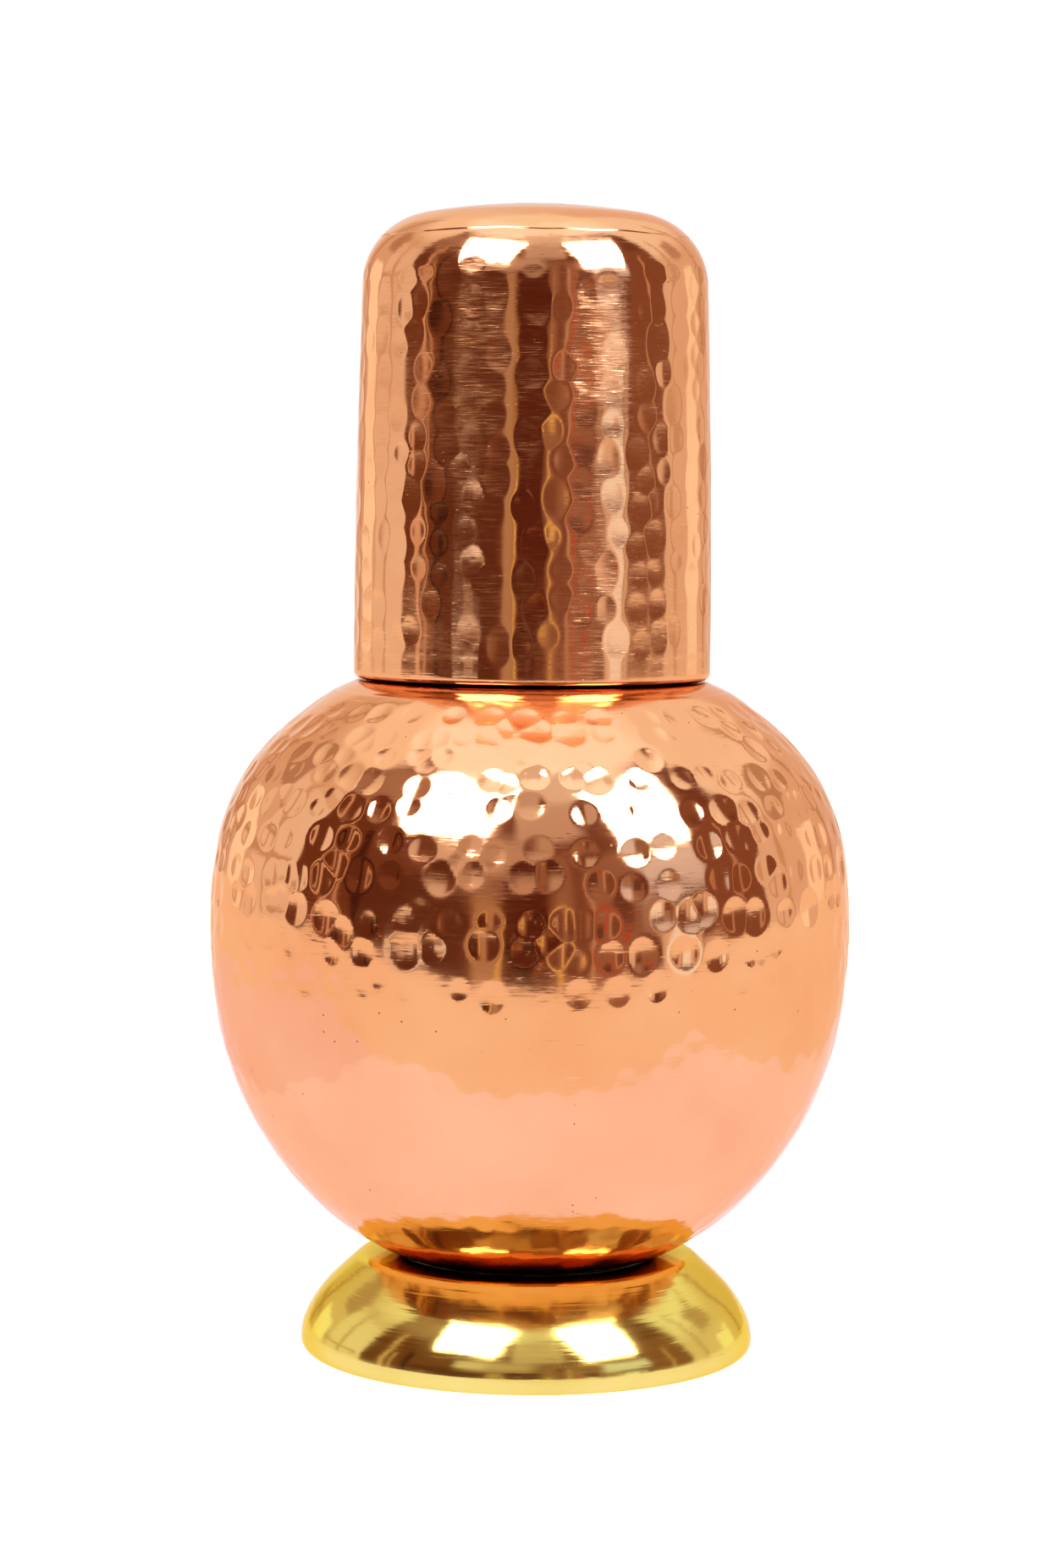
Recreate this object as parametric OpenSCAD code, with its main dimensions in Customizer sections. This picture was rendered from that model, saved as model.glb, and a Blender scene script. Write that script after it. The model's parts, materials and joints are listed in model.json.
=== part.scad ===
// Hammered copper water jug on a spun brass foot, with its own tumbler turned over the neck as a lid.
// Every piece is turned sheet metal or wire, on one upright axis. +Z is up, and the origin is on the
// floor under the middle of the foot. Lengths are in millimetres and angles in degrees.

/* [Belly] */
// Widest diameter of the belly
belly_d = 142; // [138:1:148]
// Thickness of the belly's copper sheet
belly_sheet = 0.9; // [0.7:0.1:1]

/* [Neck] */
// Outer diameter of the neck tube
neck_d = 58; // [54:1:60]
// Height of the neck's lip above the tumbler's seat
neck_rise = 64.65; // [45:0.05:80]

/* [Tumbler] */
// Outer diameter of the tumbler's mouth
mouth_d = 79; // [77:0.5:81]
// Height of the tumbler from its mouth to its top
tumbler_h = 104.1; // [98:0.05:112]
// Thickness of the tumbler's copper sheet
tumbler_sheet = 0.8; // [0.6:0.1:0.9]
// Radius of the rounded corner at the closed end
corner_r = 16; // [14:0.5:18]

/* [Foot] */
// Outer diameter of the foot's rim
foot_d = 101; // [98:1:106]
// Thickness of the foot's brass sheet
foot_sheet = 1; // [0.8:0.1:1.2]

/* [Hidden] */

copper = [0.86, 0.53, 0.35];
brass = [0.84, 0.70, 0.34];
braze_metal = [0.80, 0.66, 0.42];
wire_metal = [0.74, 0.45, 0.30];

$fn = 96;
chord_fit = 0.02; // how far a chord may lie from its arc
chord_turn = 9; // the most that one chord may turn
joint_gap = 0.03; // clearance between a brazed filler and the sheet beside it

// Foot: a flat hem on the floor, a rolled rim, a domed side and a crest that falls to a dished seat
foot_hem_in_r = foot_d / 2 - 6;
foot_rim_r = 2.5;
foot_side = [[12, 25], [27, 20], [100, 4.4]];
foot_crest_r = 4.4;
seat_edge_r = 3;
seat_turn = 19.5;
seat_in_turn = 10;
solder_t = 0.3;

// Lower bowl: a small flat, then three arcs up to the widest line
bowl_arcs = [[52, 41.5], [75, 40], [130, 8.5]];

// Upper bowl: three arcs from the widest line in to the shoulder, then the tumbler's seat, a step
// that centres the tumbler, a slope and the collar that holds the neck
dome_arcs = [[100, 9.5], [45, 39.25]];
shoulder_r = 70;
shoulder_in = 0.43; // how far inside the mouth's edge the shoulder ends
seat_bend_r = 2;
lip_gap = 0.3; // the closed tumbler's lip above its seat
lip_play = 0.5; // side play between the tumbler's lip and the step
step_root_r = 0.5;
step_rise = 1.6;
step_crown_r = 1.4;
slope_turn = 72;
collar_root_r = 1.2;
collar_h = 2.6;
collar_gap = 0.05;

// Neck and tumbler rims: the sheet is rolled round a wire
neck_curl_r = 1.2;
neck_curl_turn = 290;
neck_foot_rise = 1; // lower end of the neck above the seat
tumbler_curl_r = 0.7;
tumbler_curl_turn = 260;
wire_play = 0.05;

// Tumbler: a very slightly barrelled wall, the corner, and a crown that is nearly flat
barrel_r = 2560;
crown_turn = 10;
seam_h = 7.5; // the base seam below the top of the tumbler

// Brazing fillers
belly_band_h = 6;
band_t = 0.5;
tumbler_band_turn = 12;
neck_fillet_h = 1.2;

// An outline is a chain of points [r, z, heading]. A heading of 0 runs outwards and 90 runs up.
// A move is [radius, turn], where a left turn is positive, or [length, 0] for a straight stretch.
function chords(m) = ceil(abs(m[1]) / min(chord_turn, 2 * acos(1 - min(1, chord_fit / m[0]))));
function straight(p, len) = [[p[0] + len * cos(p[2]), p[1] + len * sin(p[2]), p[2]]];
function centre(p, m) = [p[0] - sign(m[1]) * m[0] * sin(p[2]), p[1] + sign(m[1]) * m[0] * cos(p[2])];
function on_arc(c, m, h) = [c[0] + sign(m[1]) * m[0] * sin(h), c[1] - sign(m[1]) * m[0] * cos(h), h];
function arc(p, m) = let (c = centre(p, m), n = chords(m))
    [for (k = [1:n]) on_arc(c, m, p[2] + m[1] * k / n)];
function move(p, m) = m[1] == 0 ? straight(p, m[0]) : arc(p, m);
function last(v) = v[len(v) - 1];
function follow(p, moves, i = 0) = i == len(moves) ? [] :
    let (part = move(p, moves[i])) concat(part, follow(last(part), moves, i + 1));
function outline(p, moves) = concat([p], follow(p, moves));

// Both skins of a sheet of thickness t, which lies to the left of its outline
function on_axis(r) = abs(r) < 0.000001 ? 0 : r;
function near_skin(line) = [for (p = line) [on_axis(p[0]), p[1]]];
function far_skin(line, t) = [for (p = line) [on_axis(p[0] - t * sin(p[2])), p[1] + t * cos(p[2])]];
function reversed(v) = [for (i = [len(v) - 1:-1:0]) v[i]];
module sheet(line, t) {
    rotate_extrude() polygon(concat(near_skin(line), reversed(far_skin(line, t))));
}
module wire_ring(ring_r, ring_z, wire_r) {
    rotate_extrude() translate([ring_r, ring_z]) circle(r = wire_r);
}

// Foot outline, up to the flat top of its crest
foot_start = [foot_hem_in_r, 0, 0];
foot_hem = foot_d / 2 - foot_rim_r - foot_hem_in_r;
foot_up = outline(foot_start, concat([[foot_hem, 0], [foot_rim_r, 90]], foot_side));
foot_up_turn = 180 - last(foot_up)[2];
foot_crest = last(arc(last(foot_up), [foot_crest_r, foot_up_turn]));

// Lower bowl: its flat bottom gives the belly its width, and it stands on the foot's seat
function arcs_reach(arcs, h, i = 0) = i == len(arcs) ? 0 :
    arcs[i][0] * (sin(h + arcs[i][1]) - sin(h)) + arcs_reach(arcs, h + arcs[i][1], i + 1);
bowl_flat_r = belly_d / 2 - arcs_reach(bowl_arcs, 0);
seat_r = bowl_arcs[0][0] + solder_t;
seat_drop = seat_edge_r * (1 - cos(seat_turn)) - seat_r * cos(seat_turn);
bowl_z = foot_crest[1] - seat_drop - bowl_arcs[0][0];
bowl_centre = [bowl_flat_r, bowl_z + bowl_arcs[0][0]];
bowl_line = outline([0, bowl_z, 0], concat([[bowl_flat_r, 0]], bowl_arcs));
belly_z = last(bowl_line)[1];

// Foot outline, from the crest to the inner edge of the dished seat
seat_edge_start_r = bowl_flat_r + (seat_r + seat_edge_r) * sin(seat_turn);
foot_flat = foot_crest[0] - seat_edge_start_r;
foot_line = concat(foot_up, follow(last(foot_up), [[foot_crest_r, foot_up_turn], [foot_flat, 0],
    [seat_edge_r, seat_turn], [seat_r, -seat_in_turn]]));

// Upper bowl: the shoulder arc ends just inside the tumbler's mouth
mouth_r = mouth_d / 2;
dome_line = outline([belly_d / 2, belly_z, 90], dome_arcs);
dome_end = last(dome_line);
shoulder_end_r = mouth_r - shoulder_in;
shoulder_h = 180 - asin(sin(dome_end[2]) + (shoulder_end_r - dome_end[0]) / shoulder_r);
shoulder_line = follow(dome_end, [[shoulder_r, shoulder_h - dome_end[2]],
    [seat_bend_r, 180 - shoulder_h]]);
seat_start = last(shoulder_line);
seat_z = seat_start[1];
tumbler_rim_r = tumbler_curl_r + tumbler_sheet;
step_r = mouth_r - 2 * tumbler_rim_r - lip_play;
seat_w = seat_start[0] - step_r - step_root_r;
step_line = follow(seat_start, [[seat_w, 0], [step_root_r, -90], [step_rise, 0],
    [step_crown_r, slope_turn]]);
neck_r = neck_d / 2;
collar_r = neck_r + collar_gap + belly_sheet;
slope_end_r = collar_r + collar_root_r * (1 - sin(90 + slope_turn));
slope_len = (last(step_line)[0] - slope_end_r) / sin(slope_turn);
collar_line = follow(last(step_line), [[slope_len, 0], [collar_root_r, -slope_turn], [collar_h, 0]]);
upper_line = concat(dome_line, shoulder_line, step_line, collar_line);
collar_top = last(collar_line)[1];

// Neck: a straight tube with its lip rolled outwards
neck_sheet = belly_sheet;
neck_foot_z = seat_z + neck_foot_rise;
neck_curl_z = seat_z + neck_rise - neck_curl_r - neck_sheet;
neck_line = outline([neck_r, neck_foot_z, 90],
    [[neck_curl_z - neck_foot_z, 0], [neck_curl_r, -neck_curl_turn]]);

// Tumbler outline, as it stands mouth down over the neck
mouth_z = seat_z + lip_gap;
tumbler_rim_z = mouth_z + tumbler_rim_r;
tumbler_top = mouth_z + tumbler_h;
crown_h = 180 - crown_turn;
barrel_h = tumbler_h - tumbler_rim_r - corner_r;
barrel_turn = asin(barrel_h / barrel_r);
corner_start_r = mouth_r - barrel_r * (1 - cos(barrel_turn));
corner_end_r = corner_start_r - corner_r * (cos(barrel_turn) - sin(crown_h));
crown_r = corner_end_r / sin(crown_turn);
crown_rise = crown_r * (1 - cos(crown_turn));
corner_rise = corner_r * (cos(crown_turn) - sin(barrel_turn));
corner_start_z = tumbler_top - crown_rise - corner_rise;
corner_start = [corner_start_r, corner_start_z, 90 + barrel_turn];
corner_centre = centre(corner_start, [corner_r, 1]);
seam_z = tumbler_top - seam_h;
seam_heading = acos((corner_centre[1] - seam_z) / corner_r);
seam_point = on_arc(corner_centre, [corner_r, 1], seam_heading);
wall_h = corner_start_z - tumbler_rim_z;
wall_turn = 2 * atan((mouth_r - corner_start_r) / wall_h);
wall_r = wall_h / sin(wall_turn);
rim_centre = [mouth_r - tumbler_rim_r, tumbler_rim_z];
rim_start = on_arc(rim_centre, [tumbler_rim_r, 1], 90 - tumbler_curl_turn);
wall_line = outline(rim_start, [[tumbler_rim_r, tumbler_curl_turn], [wall_r, wall_turn]]);
corner_line = arc(corner_start, [corner_r, seam_heading - corner_start[2]]);
base_line = outline(seam_point, [[corner_r, crown_h - seam_heading], [crown_r, crown_turn]]);
braze_r = corner_r - tumbler_sheet - joint_gap;
braze_start = on_arc(corner_centre, [braze_r, 1], seam_heading - tumbler_band_turn / 2);

module foot() {
    color(brass) sheet(foot_line, foot_sheet);
}

module foot_solder() {
    solder_r = seat_r - joint_gap;
    start = on_arc(bowl_centre, [solder_r, 1], seat_turn - seat_in_turn + 1);
    color(braze_metal) sheet(outline(start, [[solder_r, seat_in_turn - 2]]), solder_t - 2 * joint_gap);
}

module lower_bowl() {
    color(copper) sheet(bowl_line, belly_sheet);
}

module upper_bowl() {
    color(copper) sheet(upper_line, belly_sheet);
}

// Band of filler inside the belly, over the seam between the two bowls
module belly_braze() {
    band_r = belly_d / 2 - belly_sheet - 3 * joint_gap;
    color(braze_metal)
        rotate_extrude()
            translate([band_r - band_t, belly_z - belly_band_h / 2])
                square([band_t, belly_band_h]);
}

module neck() {
    color(copper) sheet(neck_line, neck_sheet);
}

// Fillet of filler where the neck leaves the collar
module neck_braze() {
    root_r = neck_r + joint_gap;
    color(braze_metal)
        rotate_extrude()
            polygon([[root_r, collar_top], [collar_r, collar_top], [root_r, collar_top + neck_fillet_h]]);
}

module neck_lip_wire() {
    color(wire_metal) wire_ring(neck_r + neck_curl_r, neck_curl_z, neck_curl_r - wire_play);
}

module tumbler_wall() {
    color(copper) sheet(concat(wall_line, corner_line), tumbler_sheet);
}

module tumbler_base() {
    color(copper) sheet(base_line, tumbler_sheet);
}

// Band of filler inside the tumbler, over the base seam
module tumbler_braze() {
    color(braze_metal) sheet(outline(braze_start, [[braze_r, tumbler_band_turn]]), band_t);
}

module tumbler_lip_wire() {
    color(wire_metal) wire_ring(rim_centre[0], rim_centre[1], tumbler_curl_r - wire_play);
}

foot();
foot_solder();
lower_bowl();
upper_bowl();
belly_braze();
neck();
neck_braze();
neck_lip_wire();
tumbler_wall();
tumbler_base();
tumbler_braze();
tumbler_lip_wire();
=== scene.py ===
import json
import math
import bpy
import numpy as np
from mathutils import Matrix, Vector


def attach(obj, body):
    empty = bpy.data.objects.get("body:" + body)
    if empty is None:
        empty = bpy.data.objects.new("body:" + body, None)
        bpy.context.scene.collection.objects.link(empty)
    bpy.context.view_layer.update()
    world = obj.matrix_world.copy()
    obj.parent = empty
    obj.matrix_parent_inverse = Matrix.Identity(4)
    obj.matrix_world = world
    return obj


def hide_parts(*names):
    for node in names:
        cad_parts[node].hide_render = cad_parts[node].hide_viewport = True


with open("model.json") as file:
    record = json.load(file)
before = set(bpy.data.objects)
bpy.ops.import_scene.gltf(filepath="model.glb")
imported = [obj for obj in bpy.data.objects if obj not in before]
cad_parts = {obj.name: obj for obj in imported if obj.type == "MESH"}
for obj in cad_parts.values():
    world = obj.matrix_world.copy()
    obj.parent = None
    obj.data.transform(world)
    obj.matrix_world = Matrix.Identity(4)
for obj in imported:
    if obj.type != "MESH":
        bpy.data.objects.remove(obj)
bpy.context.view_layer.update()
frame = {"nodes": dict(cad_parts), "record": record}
mm = 0.001


def follow(start, moves):
    # start is radius, height and heading: 0 runs outwards, 90 up. A move is bend radius (or straight
    # length), turn in degrees and row spacing. Gives radius, height, heading, travel for every row.
    r, z, h, s = start[0], start[1], math.radians(start[2]), 0.0
    rows = [(r, z, h, s)]
    for size, turn, gap in moves:
        t, side = math.radians(turn), (1 if turn >= 0 else -1)
        run = abs(t) * size if turn else size
        coarsest = 7 if size > 2 else 13  # degrees of bend between two rows, more on tight bends
        count = max(1, math.ceil(run / gap), math.ceil(abs(turn) / coarsest))
        cr, cz = r - side * size * math.sin(h), z + side * size * math.cos(h)
        for k in range(1, count + 1):
            f = k / count
            if turn:
                a = h + t * f
                rows.append((cr + side * size * math.sin(a), cz - side * size * math.cos(a), a, s + run * f))
            else:
                rows.append((r + size * math.cos(h) * f, z + size * math.sin(h) * f, h, s + run * f))
        r, z, h, s = rows[-1]
    return np.array(rows)


def aroundAngles(columns):
    return np.arange(columns) * 2 * math.pi / columns


def skinPoints(rows, dent, columns, inset=0.0):
    # rows of an outline turned round the axis, pushed out by dent and in by the sheet's thickness
    a = aroundAngles(columns)[None, :]
    lift = (dent - inset) if np.ndim(dent) else np.full((len(rows), 1), dent - inset)
    r = np.maximum(rows[:, 0:1] + lift * np.sin(rows[:, 2:3]), 0)
    z = rows[:, 1:2] - lift * np.cos(rows[:, 2:3]) + 0 * a
    return np.stack((r * np.cos(a), r * np.sin(a), z), axis=-1)


def skinNormals(points, travel):
    along = np.gradient(points, travel, axis=0)
    across = np.roll(points, -1, axis=1) - np.roll(points, 1, axis=1)
    n = np.cross(across, along)
    return n / np.maximum(np.linalg.norm(n, axis=2, keepdims=True), 1e-9)


def turnedMesh(name, rings, travel, normals=None, poles=None, sharp=()):
    # rings run once round the sheet's section: out along the outer skin and back along the inner one
    count, columns = rings.shape[:2]
    verts = rings.reshape(-1, 3)
    if poles is not None:
        verts = np.vstack((verts, poles))
    closed = poles is None
    i = np.arange(count if closed else count - 1)[:, None]
    j = np.arange(columns)[None, :]
    i2, j2 = (i + 1) % count, (j + 1) % columns
    quads = np.stack((i * columns + j, i * columns + j2, i2 * columns + j2, i2 * columns + j), -1)
    quads = quads.reshape(-1, 4)
    left, right = j / columns + 0 * i, (j + 1) / columns + 0 * i
    low, high = travel[i] + 0 * j, travel[i2] + 0 * j
    loops = quads.reshape(-1)
    us = np.stack((left, right, right, left), -1).reshape(-1)
    vs = np.stack((low, low, high, high), -1).reshape(-1)
    starts = np.arange(len(quads)) * 4
    if not closed:
        # each end closes on the axis with a fan of triangles
        j, j2, last = j[0], j2[0], (count - 1) * columns
        outerPole, innerPole = np.full(columns, count * columns), np.full(columns, count * columns + 1)
        outerFan = np.stack((j, outerPole, j2), -1).reshape(-1)
        innerFan = np.stack((last + j, last + j2, innerPole), -1).reshape(-1)
        starts = np.concatenate((starts, len(loops) + np.arange(2 * columns) * 3))
        loops = np.concatenate((loops, outerFan, innerFan))
        outerU = np.stack((j, j + 0.5, j + 1), -1).reshape(-1) / columns
        innerU = np.stack((j, j + 1, j + 0.5), -1).reshape(-1) / columns
        us = np.concatenate((us, outerU, innerU))
        outerV = np.tile([travel[0], travel[count], travel[0]], columns)
        innerV = np.tile([travel[count - 1], travel[count - 1], travel[count + 1]], columns)
        vs = np.concatenate((vs, outerV, innerV))
    mesh = bpy.data.meshes.new(name)
    mesh.vertices.add(len(verts))
    mesh.vertices.foreach_set("co", (verts * mm).astype(np.float32).reshape(-1))
    mesh.loops.add(len(loops))
    mesh.loops.foreach_set("vertex_index", loops.astype(np.int32))
    mesh.polygons.add(len(starts))
    mesh.polygons.foreach_set("loop_start", starts.astype(np.int32))
    mesh.update(calc_edges=True)
    mesh.polygons.foreach_set("use_smooth", np.ones(len(starts), bool))
    layer = mesh.uv_layers.new(name="travel")
    layer.data.foreach_set("uv", np.stack((us, vs * 0.01), -1).astype(np.float32).reshape(-1))
    if sharp:
        ends = np.zeros(len(mesh.edges) * 2, np.int32)
        mesh.edges.foreach_get("vertices", ends)
        ends = ends.reshape(-1, 2)
        row = ends // columns
        hard = (row[:, 0] == row[:, 1]) & np.isin(row[:, 0], sharp)
        mesh.edges.foreach_set("use_edge_sharp", hard)
    if normals is not None:
        own = np.zeros((len(verts), 3))
        own[:normals.shape[0] * columns] = normals.reshape(-1, 3)
        mesh.normals_split_custom_set_from_vertices(own)
    mesh.validate()
    piece = bpy.data.objects.new(name, mesh)
    bpy.context.scene.collection.objects.link(piece)
    return piece


def hammer(dent, rows, marks, columns, rim):
    # each mark is a ball-faced blow: travel, angle, depth, ball radius and how far it is stretched upright;
    # rim is how softly the edge of a mark runs out into the sheet
    r, s = rows[:, 0], rows[:, 3]
    steep = np.gradient(rows[:, 2], s)
    margin = 1.35  # a mark is worked out to this many times its own radius
    for travel, angle, depth, ball, stretch in marks:
        i = min(int(np.searchsorted(s, travel)), len(s) - 1)
        if r[i] < 1:
            continue
        bendRound = 1 / ball + math.sin(rows[i, 2]) / r[i]
        bendUp = 1 / ball / stretch ** 2 + max(steep[i], 0)
        wide, tall = math.sqrt(2 * depth / bendRound), math.sqrt(2 * depth / bendUp)
        lo, hi = np.searchsorted(s, (travel - margin * tall, travel + margin * tall))
        if hi <= lo:
            continue
        reach = int(math.ceil(margin * wide / r[i] / (2 * math.pi / columns)))
        mid = int(round(angle / (2 * math.pi / columns)))
        cols = np.arange(mid - reach, mid + reach + 1)
        x = (cols * 2 * math.pi / columns - angle) * r[i]
        y = s[lo:hi] - travel
        t = depth - (x[None, :] ** 2) * bendRound / 2 - (y[:, None] ** 2) * bendUp / 2
        cut = -0.5 * (t + np.sqrt(t * t + rim * rim))
        cut = np.where(t > -0.75 * depth, cut, 0)
        cols = cols % columns
        dent[lo:hi, cols] = np.minimum(dent[lo:hi, cols], cut)
    return dent


def ripple(rows, columns, seed, height, waves, shortest, longest):
    # slow unevenness left by the hand: a few waves that run round a whole number of times
    pick = np.random.default_rng(seed)
    a = aroundAngles(columns)[None, :]
    s = rows[:, 3:4]
    girth = 2 * math.pi * max(rows[:, 0].max(), 1)
    total = np.zeros((len(rows), columns))
    for _ in range(waves):
        length = pick.uniform(shortest, longest)
        lean = pick.uniform(0, math.pi)
        turns = round(girth / length * math.cos(lean))
        climb = 2 * math.pi / length * math.sin(lean)
        total += height / math.sqrt(waves) * np.sin(turns * a + climb * s + pick.uniform(0, 2 * math.pi))
    return total


def fade(x, start, end):
    t = np.clip((x - start) / (end - start), 0, 1)
    return t * t * (3 - 2 * t)


def toolLine(s, at, width):
    # a line round the piece with soft edges, 1 at its middle
    return np.exp(-((s - at) / width) ** 2)


def closedSheet(name, outer, outerTravel, normals, inner, innerTravel):
    # a ring of sheet: outer skin, then the inner skin back, joined at both ends
    rings = np.concatenate((outer, inner[::-1]))
    travel = np.concatenate((outerTravel, innerTravel[::-1]))
    sharp = [0, len(outer) - 1, len(outer), len(rings) - 1]
    return turnedMesh(name, rings, travel, normals, None, sharp)


def thinRows(rows, count):
    # fewer rows for a skin that is hardly seen, always with both ends
    pick = np.unique(np.round(np.linspace(0, len(rows) - 1, count)).astype(int))
    return rows[pick]


# two bowls from one outline, so the hammering runs on over their seam; moves are bends or straights as
# in follow, and a pair in brackets is the least and the most of a random size
belly = {
    "sheet": 0.9,
    "columns": 560,
    "bottomHeight": 18.6563,
    "lowerMoves": [(10.6361, 0, 3.0), (52, 41.5, 1.0), (75, 40, 0.9), (130, 8.5, 0.55)],
    "seamRadius": 71.0,
    "seamHeight": 96.0118,
    "domeMoves": [(100, 9.5, 0.55), (45, 39.25, 0.55)],
    "shoulderBend": 70,
    "shoulderEnd": 39.07,
    "collarMoves": [(1.7041, 0, 0.9), (0.5, -90, 0.4), (1.6, 0, 0.8), (1.4, 72, 0.4), (4.4723, 0, 1.5),
                    (1.2, -72, 0.4), (2.6, 0, 1.3)],
    "ridge": 0.3,  # how proud the plain shoulder stands at its ridge
    "markRows": ((55.2, 37), (49.5, 41), (43.3, 44), (36.9, 48), (30.1, 50), (22.8, 50), (15.2, 51),
                 (7.6, 50), (0.2, 51), (-7.2, 50)),  # travel from the seam, and blows in the row
    "depth": (0.2, 0.38),
    "ball": (16, 28),
    "missed": 0.06,  # share of blows left out
    "doubled": 0.24,  # share of blows struck twice
    "markRim": 0.045,
    "planishRows": (-14.0, -112, -6.1),  # first, last and step of the faint rows below
    "planishPitch": 6.9,
    "planishDepth": (0.04, 0.13),
    "planishBall": (60, 170),
}
lowerRows = follow((0, belly["bottomHeight"], 0), belly["lowerMoves"])
seam = (belly["seamRadius"], belly["seamHeight"], 90)
domeRows = follow(seam, belly["domeMoves"])
domeEnd = domeRows[-1]
domeHeading = math.degrees(domeEnd[2])
shoulderTurn = 180 - math.degrees(math.asin(
    math.sin(domeEnd[2]) + (belly["shoulderEnd"] - domeEnd[0]) / belly["shoulderBend"])) - domeHeading
seatTurn = 180 - domeHeading - shoulderTurn
shoulderMoves = [(belly["shoulderBend"], shoulderTurn, 0.55), (2, seatTurn, 0.4)]
upperRows = follow(seam, belly["domeMoves"] + shoulderMoves + belly["collarMoves"])
lowerRows[:, 3] -= lowerRows[-1, 3]
seamRow = len(lowerRows) - 1
bellyRows = np.vstack((lowerRows[:-1], upperRows))
shoulderTop = domeRows[-1, 3] + belly["shoulderBend"] * math.radians(shoulderTurn)

pick = np.random.default_rng(41)
bellyMarks = []
for row, count in belly["markRows"]:
    wander = pick.uniform(0, 2 * math.pi, 3)
    phase = pick.uniform(0, 2 * math.pi)
    for k in range(count):
        angle = phase + (k + pick.uniform(-0.27, 0.27)) * 2 * math.pi / count
        sway = (0.8 * math.sin(2 * angle + wander[0]) + 0.7 * math.sin(5 * angle + wander[1])
                + 0.4 * math.sin(9 * angle + wander[2]))
        keep = 0.3 if row > 50 else 1  # the top row runs truer
        travel = row + keep * (sway + pick.uniform(-0.8, 0.8))
        if pick.random() < belly["missed"]:
            continue
        depth, ball = pick.uniform(*belly["depth"]), pick.uniform(*belly["ball"])
        if row < -2:
            depth *= pick.uniform(0.55, 1)
        bellyMarks.append((travel, angle, depth, ball, pick.uniform(1, 1.2)))
        if pick.random() < belly["doubled"] and row < 50:
            second = travel + pick.uniform(-3.2, 3.2)
            beside = angle + pick.uniform(2.6, 4) / 68  # millimetres along the girth, as an angle
            bellyMarks.append((second, beside, depth * pick.uniform(0.6, 1), 25, 1.1))
for row in np.arange(*belly["planishRows"]):
    girth = 2 * math.pi * np.interp(row, bellyRows[:, 3], bellyRows[:, 0])
    count = max(4, round(girth / belly["planishPitch"]))
    phase = pick.uniform(0, 2 * math.pi)
    for k in range(count):
        angle = phase + (k + pick.uniform(-0.3, 0.3)) * 2 * math.pi / count
        if pick.random() < 0.1:
            continue
        travel = row + pick.uniform(-1.9, 1.9)
        depth, ball = pick.uniform(*belly["planishDepth"]), pick.uniform(*belly["planishBall"])
        bellyMarks.append((travel, angle, depth, ball, pick.uniform(0.8, 1.05)))

columns = belly["columns"]
bellyDent = hammer(np.zeros((len(bellyRows), columns)), bellyRows, bellyMarks, columns, belly["markRim"])
s = bellyRows[:, 3:4]
hand = fade(s, -118, -108) * (1 - fade(s, shoulderTop - 9, shoulderTop - 4))
bellyDent += hand * ripple(bellyRows, columns, 7, 0.035, 30, 12, 34)
bellyDent += hand * (1 - fade(s, -16, -4)) * ripple(bellyRows, columns, 9, 0.012, 24, 7, 13)
shoulder = (1 - fade(s, shoulderTop - 1, shoulderTop)) * fade(s, shoulderTop - 12, shoulderTop - 6)
bellyDent += shoulder * ripple(bellyRows, columns, 8, 0.012, 16, 14, 40)
# the plain shoulder stands proud at a ridge, and a faint groove and two fine lines run above it
rising = fade(s, shoulderTop - 17, shoulderTop - 3)
falling = 0.92 - 0.92 * fade(s, shoulderTop - 7, shoulderTop + 0.4)
bellyDent += belly["ridge"] * np.where(s < shoulderTop - 5.2, rising, falling)
bellyDent += 0.05 * toolLine(s, shoulderTop - 5.1, 0.32) - 0.05 * toolLine(s, shoulderTop - 4.4, 0.3)
bellyDent += 0.015 * toolLine(s, shoulderTop - 2.6, 0.3)
bellyPoints = skinPoints(bellyRows, bellyDent, columns)
bellyNormals = skinNormals(bellyPoints, bellyRows[:, 3])

plain = thinRows(upperRows, 9)
upperBowl = closedSheet("upperBowl", bellyPoints[seamRow:], upperRows[:, 3], bellyNormals[seamRow:],
                        skinPoints(plain, 0.0, columns, belly["sheet"]), plain[:, 3])

outer = bellyPoints[1:seamRow + 1]
plain = thinRows(lowerRows[1:], 9)
rings = np.concatenate((outer, skinPoints(plain, 0.0, columns, belly["sheet"])[::-1]))
travel = np.concatenate((lowerRows[1:, 3], plain[::-1, 3], [lowerRows[0, 3], lowerRows[0, 3]]))
poles = [(0, 0, belly["bottomHeight"]), (0, 0, belly["bottomHeight"] + belly["sheet"])]
lowerBowl = turnedMesh("lowerBowl", rings, travel, bellyNormals[1:seamRow + 1], poles,
                       [len(outer) - 1, len(outer)])
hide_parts("upper_bowl")
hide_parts("lower_bowl")
print("belly:", len(bellyMarks), "hammer marks,", len(upperBowl.data.polygons), "and",
      len(lowerBowl.data.polygons), "faces")


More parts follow.
